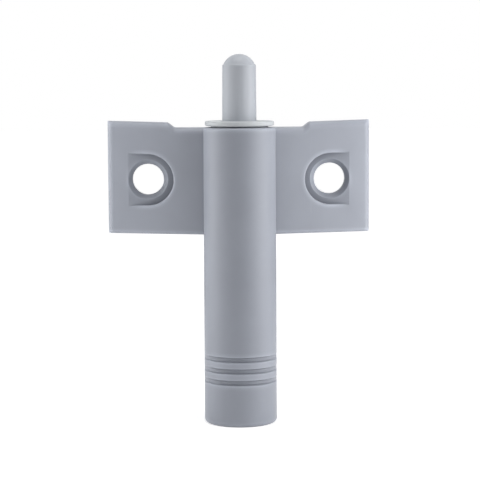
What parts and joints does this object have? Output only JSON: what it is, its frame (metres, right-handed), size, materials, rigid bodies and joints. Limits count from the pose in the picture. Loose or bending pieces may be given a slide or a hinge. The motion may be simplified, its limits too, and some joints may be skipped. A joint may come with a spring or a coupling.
{
  "type": "cabinet door damper",
  "caption": "Screw-on soft-close damper: a winged plastic holder with a hydraulic cartridge whose sprung, domed plunger slides in and slows a closing cabinet door.",
  "frame": {"origin": "on the flat mounting face, midway between the two screw holes", "axes": "+Y out of the mounting face into the cabinet wall, +Z along the plunger towards the door, X along the line of the screw holes"},
  "size_m": [0.0462, 0.0131, 0.0643],
  "materials": {
    "holder_plastic": "satin moulded blue-grey ABS",
    "cartridge_plastic": "satin moulded light grey acetal",
    "sleeve_plastic": "satin moulded grey acetal",
    "inner_plastic": "natural moulded acetal",
    "ring_plastic": "dark filled plastic",
    "rod_steel": "ground and polished steel",
    "spring_steel": "drawn spring wire",
    "seal_rubber": "moulded nitrile rubber",
    "foam": "closed-cell foam"
  },
  "bodies": {
    "holder": {"holder": "holder_plastic", "sleeve": "sleeve_plastic", "flange_cap": "cartridge_plastic", "return_spring": "spring_steel", "cylinder_tube": "inner_plastic", "rod_guide": "inner_plastic", "guide_o_ring": "seal_rubber", "rod_seal": "seal_rubber", "compensator_foam": "foam", "stop_washer": "inner_plastic"},
    "plunger": {"plunger": "cartridge_plastic", "piston_rod": "rod_steel", "piston": "inner_plastic", "piston_ring": "ring_plastic", "check_disc": "spring_steel", "push_nut": "spring_steel"}
  },
  "joints": [
    {"name": "plunger_slide", "type": "slide", "parent": "holder", "child": "plunger", "axis": [0, 0, 1], "range_m": [-0.0105, 0], "stiffness_N_per_m": 150, "springref_m": 0.02, "deforming": ["return_spring"]}
  ]
}
